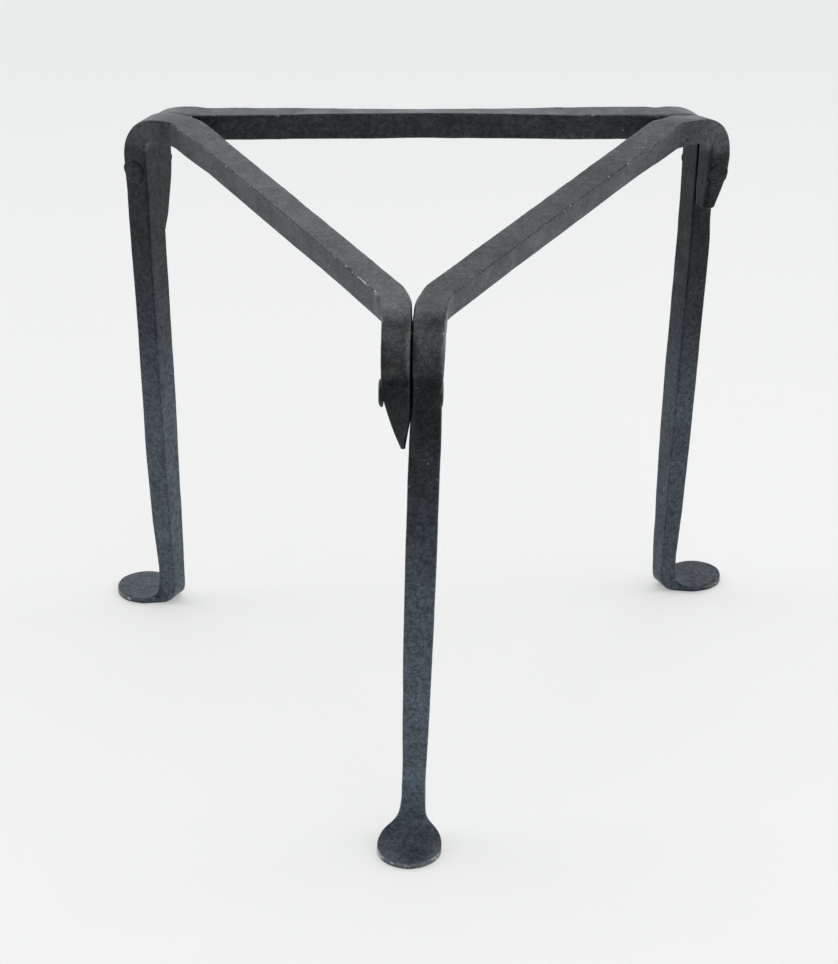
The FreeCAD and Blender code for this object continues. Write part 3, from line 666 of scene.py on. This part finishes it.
def rivet_rings(name):
    """A round shank with a low hammered head at each end."""
    rivet = RIVET[name]
    leg_head, tail_head = (head_profile(rivet["head"], dome) for dome in rivet["domes"])
    chain = [(rivet["leg"] + height, radius) for radius, height in leg_head]
    chain += [(rivet["leg"] - 6, SHANK_RADIUS), (rivet["tail"] + 6, SHANK_RADIUS)]
    chain += [(rivet["tail"] - height, radius) for radius, height in tail_head[::-1]]

    corner = CORNER_ANGLE[name]
    out_way, side_way = unit(corner), unit(corner + 90)
    phi = np.linspace(0, 2 * math.pi, 72, endpoint=False)
    # heads slightly out of round; the corner's number only sets the phase
    wobble = (1 + 0.035 * np.sin(2 * phi + corner) + 0.02 * np.sin(3 * phi + 1 + corner)
              + .012 * np.sin(5 * phi))
    rings = []
    for sideways, radius in resample(chain, 150):
        radii = radius * (wobble if radius > SHANK_RADIUS * 1.1 else 1.0)
        plan = (AXIS + np.outer(rivet["out"] + radii * np.cos(phi), out_way)
                + sideways * side_way)
        z = lifted(plan[:, 0], plan[:, 1], rivet["z"] + radii * np.sin(phi))
        rings.append(np.column_stack([plan, z]))
    rings = np.array(rings)
    points = rings.reshape(-1, 3)
    # coarse and fine marks, and flattened facets
    return displaced(rings, 0.10 * noise(points, 2.4, 71) + 0.03 * noise(points, 1.0, 72)
                     - 0.12 * np.clip(noise(points, 3.4, 73), .1, 1))


# ---------------------------------------------------------------- meshes
def swept_object(name, rings, material, worn=None):
    """Closed, smooth-shaded mesh through the rings, with its "worn" attribute if given."""
    rows, columns = rings.shape[:2]
    verts = np.vstack([rings.reshape(-1, 3), rings[0].mean(0), rings[-1].mean(0)])
    row = np.arange(rows - 1)[:, None] * columns
    j = np.arange(columns)
    after = (j + 1) % columns
    quads = np.stack([row + j, row + after, row + columns + after, row + columns + j], -1)
    quads = quads.reshape(-1, 4)
    last = (rows - 1) * columns
    start_fan = np.stack([np.full(columns, rows * columns), after, j], -1)
    end_fan = np.stack([np.full(columns, rows * columns + 1), last + j, last + after], -1)
    tris = np.vstack([start_fan, end_fan])

    # turn the faces outward, judged by one at the middle of the sweep
    middle = rows // 2
    a, b, c = rings[middle, 0], rings[middle, 1], rings[middle + 1, 1]
    if np.cross(b - a, c - a) @ (a - rings[middle].mean(0)) < 0:
        quads, tris = quads[:, ::-1], tris[:, ::-1]

    mesh = bpy.data.meshes.new(name)
    mesh.from_pydata([tuple(v) for v in verts * MM], [], quads.tolist() + tris.tolist())
    mesh.validate()
    mesh.shade_smooth()
    if worn is not None:
        values = np.zeros(len(verts), np.float32)
        values[:worn.size] = worn.reshape(-1)
        mesh.attributes.new("worn", "FLOAT", "POINT").data.foreach_set("value", values)
    mesh.update()
    mesh.materials.append(material)
    piece = bpy.data.objects.new(name, mesh)
    bpy.context.scene.collection.objects.link(piece)
    return piece


# ---------------------------------------------------------------- shader helpers
def put(socket, value):
    """Link a Field to an input, or set the input's value; colours get their alpha."""
    if isinstance(value, Field):
        value.tree.links.new(value.socket, socket)
    else:
        socket.default_value = (*value, 1.0) if isinstance(value, tuple) else value


class Field:
    """An output in a node tree; arithmetic on it adds math nodes."""

    def __init__(self, tree, socket):
        self.tree, self.socket = tree, socket

    def math(self, operation, a, b):
        node = self.tree.nodes.new("ShaderNodeMath")
        node.operation = operation
        put(node.inputs[0], a)
        put(node.inputs[1], b)
        return Field(self.tree, node.outputs[0])

    def __add__(self, other):
        return self.math("ADD", self, other)

    def __radd__(self, other):
        return self.math("ADD", other, self)

    def __sub__(self, other):
        return self.math("SUBTRACT", self, other)

    def __rsub__(self, other):
        return self.math("SUBTRACT", other, self)

    def __mul__(self, other):
        return self.math("MULTIPLY", self, other)

    def clamped(self):
        """Keep the last sum or product in 0..1."""
        self.socket.node.use_clamp = True
        return self

    def fade(self, start, end, at_start=0.0, at_end=1.0, kind="SMOOTHSTEP"):
        """Go from at_start to at_end as this field goes from start to end."""
        node = self.tree.nodes.new("ShaderNodeMapRange")
        node.interpolation_type = kind
        put(node.inputs["Value"], self)
        put(node.inputs["From Min"], start)
        put(node.inputs["From Max"], end)
        put(node.inputs["To Min"], at_start)
        put(node.inputs["To Max"], at_end)
        return Field(self.tree, node.outputs["Result"])


class Shader:
    """The emptied node tree of a material or world, with helpers to fill it."""

    def __init__(self, owner, output="ShaderNodeOutputMaterial"):
        owner.use_nodes = True
        self.tree = owner.node_tree
        self.tree.nodes.clear()
        self.output = self.add(output)

    def add(self, kind, inputs=None, **settings):
        node = self.tree.nodes.new(kind)
        for key, value in settings.items():
            setattr(node, key, value)
        for key, value in (inputs or {}).items():
            put(node.inputs[key], value)
        return node

    def out(self, node, key=0):
        return Field(self.tree, node.outputs[key])

    def finish(self, node):
        put(self.output.inputs["Surface"], self.out(node))

    def split(self, field, kind="ShaderNodeSeparateXYZ"):
        """The three components of a vector, or of a colour."""
        node = self.add(kind, {0: field})
        return [self.out(node, k) for k in range(3)]

    def geometry(self, key):
        return self.split(self.out(self.add("ShaderNodeNewGeometry"), key))

    def coordinate(self, offset):
        place = self.out(self.add("ShaderNodeTexCoord"), "Object")
        mapping = self.add("ShaderNodeMapping", {"Vector": place})
        mapping.inputs["Location"].default_value = (offset, offset * 0.7, -offset)
        return self.out(mapping, "Vector")

    def noise(self, size, detail, roughness, distortion, offset):
        """Noise with features of size in millimetres."""
        return self.out(self.add("ShaderNodeTexNoise", {
            "Vector": self.coordinate(offset), "Scale": 1000.0 / size, "Detail": detail,
            "Roughness": roughness, "Distortion": distortion}), "Fac")

    def cells(self, feature, size, offset):
        """Distance in Voronoi cells of size in millimetres, and two random values a cell."""
        node = self.add("ShaderNodeTexVoronoi", feature=feature,
                        inputs={"Scale": 1000.0 / size, "Vector": self.coordinate(offset)})
        red, green, _ = self.split(self.out(node, "Color"), "ShaderNodeSeparateColor")
        return self.out(node, "Distance"), red, green

    def mix(self, share, a, b, blend="MIX"):
        node = self.add("ShaderNodeMix", {0: share}, data_type="RGBA", blend_type=blend)
        put(node.inputs[6], a)
        put(node.inputs[7], b)
        return self.out(node, 2)

    def scaled(self, colour, share, low, high):
        """Colour times a grey between low and high."""
        return self.mix(1.0, colour, self.mix(share, (low,) * 3, (high,) * 3), "MULTIPLY")

    def ramp(self, field, stops):
        node = self.add("ShaderNodeValToRGB", {"Fac": field})
        elements = node.color_ramp.elements
        while len(elements) < len(stops):
            elements.new(0.5)
        for element, (position, colour) in zip(elements, stops):
            element.position = position
            element.color = (*colour, 1.0)
        return self.out(node, "Color")


# ---------------------------------------------------------------- forged iron
# size in mm, detail, roughness, distortion, offset
PATTERNS = {
    "broad": (34.0, 3.0, 0.5, 0.0, 0.0),
    "mottle": (7.5, 6.0, 0.62, 0.4, 1.3),
    "fine": (1.7, 5.0, 0.65, 0.0, 2.9),
    "grain": (0.55, 3.0, 0.6, 0.0, 4.1),
    "bloom": (14.0, 5.0, 0.6, 0.6, 7.7),
    "rust": (5.2, 5.0, 0.66, 0.5, 11.0),
    "edge": (3.4, 5.0, 0.7, 0.3, 17.0),
    "rim": (1.6, 4.0, 0.7, 0.2, 19.0),
    "nick": (1.5, 3.0, 0.6, 0.0, 23.0),
    "nick group": (16.0, 2.0, 0.5, 0.0, 29.0),
    "line": (5.0, 3.0, 0.6, 0.0, 37.0),
    "run": (9.0, 3.0, 0.7, 0.0, 17.0),
}
SPECK_SIZE, SPECK_OFFSET = 3.1, 31.0
PIT_SIZE, PIT_OFFSET = 2.3, 41.0

# linear colours
SCALE_BLUE = (0.048, 0.062, 0.080)
RUST_BROWN = (0.050, 0.036, 0.030)
RUBBED = (0.120, 0.128, 0.132)
RIM_STOPS = ((0.30, (0.035, 0.037, 0.038)), (0.50, (0.125, 0.125, 0.117)),
             (0.72, (0.300, 0.295, 0.270)))
ARRIS_DARK = (0.003, 0.003, 0.004)
NICK_BRIGHT = (0.46, 0.47, 0.46)
SPECK_LIGHT = (0.20, 0.20, 0.19)
# painted shade colour that ambient occlusion lays into the crevices
CREVICE_SHADE = (0.002, 0.002, 0.003)
TINT_HIGH, TINT_LOW = (0.97, 1.0, 1.02), (0.87, 0.97, 1.07)


class ForgedIron(Shader):
    """Blackened wrought iron: mottled oxide, hammered grain, pits, pale rubbed edges, with painted
    light and shade by place and painted shade in crevices.

    Fades of x, y and height mark out regions, in metres.  A product with a plain number
    sets the strength of what stands before it."""

    def __init__(self, name, dark, light, shift=0.0):
        self.material = bpy.data.materials.new(name)
        super().__init__(self.material)
        self.shift = shift
        self.x, self.y, self.height = self.geometry("Position")
        self.normal_x, _, self.normal_z = self.geometry("Normal")
        self.worn = self.out(self.add("ShaderNodeAttribute", attribute_name="worn"), "Fac")
        self.mottle = self.pattern("mottle")
        self.fine = self.pattern("fine")
        self.grain = self.pattern("grain")
        self.tone = self.mottle * 0.6 + self.pattern("broad") * 0.4
        # faint brown where rust starts, mostly round the front shoulder
        self.front = (self.y.fade(start=-0.060, end=-0.082)
                      * self.height.fade(start=0.165, end=0.186))
        self.rust = (self.pattern("rust").fade(start=0.46, end=0.68)
                     * (self.front * 0.38 + 0.05)).clamped()
        # the line of an arris, away from the feet's rims
        self.line = (self.worn.fade(start=0.62, end=0.86) * self.worn.fade(start=1.05, end=1.0)
                     * self.pattern("line").fade(start=0.36, end=0.58, at_start=0.35))

        colour = self.worn_colour(self.oxide_colour(dark, light))
        # painted light and shade by place, which scales both colour and gloss
        shade = self.shade()
        # painted shade in crevices: ambient occlusion darkens the colour in the laps and round the
        # rivet heads
        crevice = self.add("ShaderNodeAmbientOcclusion", {"Distance": 0.0022}, samples=6)
        crevice_shade = self.out(crevice, "AO").fade(start=0.35, end=0.85, at_start=0.12)
        colour = self.mix(crevice_shade, CREVICE_SHADE, self.scaled(colour, shade, low=0.0, high=1.0))
        colour = self.scaled(colour, self.grain.fade(start=0.34, end=0.66), low=0.70, high=1.32)
        tint = self.mix(self.height.fade(start=0.150, end=0.080), TINT_HIGH, TINT_LOW)
        self.finish(self.add("ShaderNodeBsdfPrincipled", {
            "Base Color": colour,
            "Roughness": self.roughness(),
            "Metallic": 0.0,
            "IOR": 1.5,
            "Specular IOR Level": self.gloss(shade, crevice_shade),
            "Specular Tint": tint,
            "Normal": self.relief()}))

    def pattern(self, key):
        *settings, offset = PATTERNS[key]
        # the run of nicks stays put whatever the shift
        return self.noise(*settings, offset if key == "run" else self.shift + offset)

    def oxide_colour(self, dark, light):
        colour = self.mix(self.tone.fade(start=0.28, end=0.72), dark, light)
        # cloudy grey scale left by the fire, stronger low on the legs, weaker on faces
        # that look up and towards the back
        low = (self.height.fade(start=0.155, end=0.085)
               * self.normal_z.fade(start=0.35, end=0.9, at_start=1.0, at_end=0.22)
               * self.y.fade(start=-0.03, end=0.03, at_start=1.0, at_end=0.72))
        bloom = self.pattern("bloom").fade(start=0.42, end=0.66) * 0.16
        blue = self.mix((low * 1.0 + bloom).clamped(), (0.0, 0.0, 0.0), SCALE_BLUE)
        colour = self.mix(1.0, colour, blue, "ADD")
        # fine light and dark peppering
        colour = self.scaled(colour, self.fine.fade(start=0.34, end=0.66), low=0.60, high=1.45)
        return self.mix(self.rust, colour, RUST_BROWN)

    def worn_colour(self, colour):
        """Rubbed edges and foot rims, dark arris lines, bright nicks and specks."""
        worn = self.worn
        edge = (worn.fade(start=0.50, end=0.95)
                * (self.pattern("edge").fade(start=0.44, end=0.70) * 0.85 + 0.12))
        colour = self.mix(edge * 0.26, colour, RUBBED)
        rim_tone = self.ramp(self.pattern("rim"), RIM_STOPS)
        colour = self.mix(worn.fade(start=1.02, end=1.25) * 0.8, colour, rim_tone)
        colour = self.mix(self.line * 0.75, colour, ARRIS_DARK)
        nick = (worn.fade(start=0.45, end=0.85) * self.pattern("nick").fade(start=0.60, end=0.67)
                * self.pattern("nick group").fade(start=0.42, end=0.56))
        # a ragged run of fresh nicks on the front-left rail near the front corner
        run = (self.x.fade(start=-0.025, end=-0.019) * self.x.fade(start=-0.004, end=-0.009)
               * self.y.fade(start=-0.02, end=-0.03) * worn.fade(start=0.50, end=0.80)
               * self.pattern("run").fade(start=0.50, end=0.58))
        colour = self.mix(nick.math("MAXIMUM", nick, run), colour, NICK_BRIGHT)
        # stray light specks on the faces, in a few of the cells
        distance, red, _ = self.cells("F1", SPECK_SIZE, self.shift + SPECK_OFFSET)
        speck = distance.fade(start=0.17, end=0.09) * red.fade(start=0.90, end=0.94)
        return self.mix(speck * 0.8, colour, SPECK_LIGHT)

    def roughness(self):
        """Smoother where light in tone and on the front shoulder, rougher with rust."""
        rough = self.tone.fade(start=0.34, end=0.68, at_start=0.50, at_end=0.40)
        rough = rough + (self.fine - 0.5) * 0.16
        rough = (rough + self.rust * 0.18).clamped()
        return (rough - self.front * 0.10).clamped()

    def relief(self):
        """Hammer grain, the sand-like tooth of forge scale, and pits in some cells."""
        distance, _, green = self.cells("SMOOTH_F1", PIT_SIZE, self.shift + PIT_OFFSET)
        pit = distance.fade(start=0.34, end=0.12) * green.fade(start=0.55, end=0.8)
        relief = self.mottle * 0.34 + self.fine * 0.26 + self.grain * 0.13 - pit * 0.13
        return self.out(self.add("ShaderNodeBump", {
            "Strength": 0.7, "Distance": 0.00042, "Height": relief}))

    def shade(self):
        """Painted light and shade: brightness of colour and gloss by place; 1 leaves them as they
        are.
        """
        x, y, height = self.x, self.y, self.height
        # painted shade: duller below the rails, most on the upper legs and at the back right
        right = x.fade(start=-0.02, end=0.02)
        rear = y.fade(start=-0.03, end=0.03)
        upper = height.fade(start=0.075, end=0.125)
        dull = (0.13 + upper * 0.27) * (0.22 + rear * 0.78) + right * rear * 0.15
        shade = 1.0 - dull * height.fade(start=0.1895, end=0.1850)
        # painted highlight: a brighter band on the front shoulder
        band = (height.fade(start=0.1805, end=0.1835) * height.fade(start=0.1975, end=0.192)
                * y.fade(start=-0.074, end=-0.080))
        shade = shade + band * 1.25
        # painted shade, blackest under the front shoulder, and painted light, palest low on the
        # front leg
        front_half = 1.0 - rear
        black = height.fade(start=0.150, end=0.158) * height.fade(start=0.1815, end=0.179)
        shade = shade - black * front_half * 0.22
        shade = shade + height.fade(start=0.110, end=0.080) * front_half * 0.22
        # painted light on the outward faces of the left corner
        outer_left = (self.normal_x.fade(start=-0.2, end=-0.4)
                      * x.fade(start=-0.06, end=-0.08))
        shade = shade + outer_left * 0.13
        # painted light and shade on the rails: tops duller than sides, most on the right rail;
        # sides at the back brighter
        upward = self.normal_z.fade(start=0.55, end=0.85)
        right_rail = x.fade(start=0.0, end=0.012) * y.fade(start=0.078, end=0.066)
        change = 0.16 - upward * (0.19 + right_rail * 0.22)
        back_sides = y.fade(start=0.070, end=0.078) * (1.0 - upward)
        change = change + back_sides * 0.30
        return shade + height.fade(start=0.1880, end=0.1915) * change

    def gloss(self, shade, crevice_shade):
        """Specular level: mottled, lower on the feet's tops, in the painted crevice shade and on
        arrises, and scaled by the painted light and shade.
        """
        gloss = (self.mottle * 0.3 + self.fine * 0.7).fade(start=0.34, end=0.66,
                                                           at_start=0.38, at_end=0.68)
        grain = self.grain.fade(start=0.36, end=0.64, at_start=0.72, at_end=1.28)
        foot_top = (self.normal_z.fade(start=0.5, end=0.9)
                    * self.height.fade(start=0.010, end=0.006))
        by_foot = self.x.fade(start=-0.07, end=-0.03, at_start=0.02, at_end=0.28)
        return gloss * shade * grain * (1.0 - foot_top * by_foot) * crevice_shade * (1.0 - self.line * 0.6)


iron = ForgedIron("forged_iron", dark=(0.0070, 0.0078, 0.0092),
                  light=(0.0185, 0.0205, 0.0228)).material
rivet_iron = ForgedIron("rivet_iron", dark=(0.0070, 0.0076, 0.0088),
                        light=(0.0180, 0.0198, 0.0218), shift=5.0).material

# ---------------------------------------------------------------- the pieces
for number, name in enumerate(CORNER_ANGLE):
    rings, edge = member_rings(name)
    worn = wear(rings, edge, name)
    rings = hammered(rings, np.minimum(worn, 1.0), seed=101 + 20 * number)
    member = swept_object("forged_member_" + name, rings, iron, worn)
    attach(member, "root")
    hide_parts("member_" + name)

for name in CORNER_ANGLE:
    rivet = swept_object("hammered_rivet_" + name, rivet_rings(name), rivet_iron)
    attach(rivet, "root")
    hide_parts("rivet_" + name)


# ---------------------------------------------------------------- floor
# (radius, height) of a round sheet that rises into a backdrop on every side
FLOOR_PROFILE = ((0.6, 0.0), (1.2, 0.0), (2.0, 0.02), (2.4, 0.10), (2.7, 0.28), (2.9, 0.6),
                 (3.0, 1.2), (3.06, 3.4))
FLOOR_SEGMENTS = 96
# the sheet as the iron sees it: round the object, in front, on the right, on the backdrop
SEEN_NEAR, SEEN_FRONT = (0.79, 0.84, 0.87), (0.06, 0.065, 0.075)
SEEN_RIGHT, SEEN_BACK = (0.88, 0.93, 0.94), (1.18, 1.25, 1.29)


def floor_material():
    material = bpy.data.materials.new("pale_floor")
    shader = Shader(material)
    x, y, z = shader.geometry("Position")
    # an even glow keeps the contact shadows faint
    glow = y.fade(start=0.7, end=-0.40, at_start=0.185, at_end=0.405, kind="LINEAR")
    paper = shader.add("ShaderNodeBsdfPrincipled", {
        "Base Color": (0.53, 0.523, 0.514), "Roughness": 0.9, "IOR": 1.2,
        "Emission Color": (1.0, 0.998, 0.985), "Emission Strength": glow})
    seen = shader.mix(y.fade(start=-0.20, end=-0.42), SEEN_NEAR, SEEN_FRONT)
    seen = shader.mix(x.fade(start=0.10, end=0.50), seen, SEEN_RIGHT)
    back = y.fade(start=0.6, end=2.2) * z.fade(start=2.1, end=1.35)
    seen = shader.mix(back, seen, SEEN_BACK)
    emission = shader.add("ShaderNodeEmission", {"Color": seen})
    camera_ray = shader.out(shader.add("ShaderNodeLightPath"), "Is Camera Ray")
    shader.finish(shader.add("ShaderNodeMixShader", {
        0: camera_ray, 1: shader.out(emission), 2: shader.out(paper)}))
    return material


def stage_floor():
    count = FLOOR_SEGMENTS
    verts = [(0.0, 0.0, 0.0)]
    for radius, z in FLOOR_PROFILE:
        verts += [(radius * math.cos(2 * math.pi * k / count),
                   radius * math.sin(2 * math.pi * k / count), z) for k in range(count)]
    faces = [(0, 1 + k, 1 + (k + 1) % count) for k in range(count)]
    for ring in range(len(FLOOR_PROFILE) - 1):
        i = 1 + ring * count
        faces += [(i + k, i + count + k, i + count + (k + 1) % count, i + (k + 1) % count)
                  for k in range(count)]
    mesh = bpy.data.meshes.new("floor")
    mesh.from_pydata(verts, [], faces)
    mesh.shade_smooth()
    floor = bpy.data.objects.new("floor", mesh)
    bpy.context.scene.collection.objects.link(floor)
    mesh.materials.append(floor_material())


stage_floor()

# ---------------------------------------------------------------- world and lights
scene = bpy.context.scene


def studio_world():
    """Dark towards -Y near the horizon, white elsewhere."""
    world = bpy.data.worlds.new("studio")
    scene.world = world
    shader = Shader(world, "ShaderNodeOutputWorld")
    _, y, _ = shader.split(shader.out(shader.add("ShaderNodeTexCoord"), "Generated"))
    sky = shader.mix(y.fade(start=-0.45, end=-0.93), (0.96, 1.0, 1.02), (0.05, 0.055, 0.065))
    shader.finish(shader.add("ShaderNodeBackground", {"Color": sky, "Strength": 0.74}))


def area_light(name, location, target, size, power):
    light = bpy.data.lights.new(name, "AREA")
    light.shape = "RECTANGLE"
    light.size, light.size_y = size
    light.energy = power
    lamp = bpy.data.objects.new(name, light)
    scene.collection.objects.link(lamp)
    lamp.location = location
    lamp.rotation_mode = "QUATERNION"
    aim = Vector(target) - Vector(location)
    lamp.rotation_quaternion = aim.to_track_quat("-Z", "Y")


studio_world()
area_light("top_soft", location=(-0.1, 0.8, 1.6), target=(0, 0.1, 0), size=(2.2, 1.6), power=12.0)
for name, x in (("left_soft", -1.6), ("right_soft", 1.6)):
    area_light(name, location=(x, 0.3, 0.8), target=(0, 0, 0.1), size=(1.2, 1.2), power=6.0)

# ---------------------------------------------------------------- camera
CAMERA_PLACE = (0.03899, -1.02123, 0.64542)
# degrees: down from level, left of +Y, and about the view direction
PITCH, YAW, CAMERA_ROLL = 28.41, 2.02, -0.29


def add_camera():
    pitch, yaw, roll = (math.radians(angle) for angle in (PITCH, YAW, CAMERA_ROLL))
    forward = Vector((-math.sin(yaw) * math.cos(pitch), math.cos(yaw) * math.cos(pitch),
                      -math.sin(pitch)))
    level_right = Vector((math.cos(yaw), math.sin(yaw), 0.0))
    level_up = level_right.cross(forward)
    right = math.cos(roll) * level_right + math.sin(roll) * level_up
    up = -math.sin(roll) * level_right + math.cos(roll) * level_up
    lens = bpy.data.cameras.new("camera")
    lens.sensor_fit = "AUTO"
    lens.sensor_width = 36.0
    lens.lens = 122.34
    lens.clip_start, lens.clip_end = 0.05, 20.0
    camera = bpy.data.objects.new("camera", lens)
    scene.collection.objects.link(camera)
    turn = Matrix((right, up, -forward)).transposed()
    camera.matrix_world = Matrix.Translation(CAMERA_PLACE) @ turn.to_4x4()
    scene.camera = camera


add_camera()

scene.view_settings.view_transform = "Standard"
scene.view_settings.look = "None"
scene.view_settings.exposure = 0.0
scene.view_settings.gamma = 1.0

bpy.context.view_layer.update()
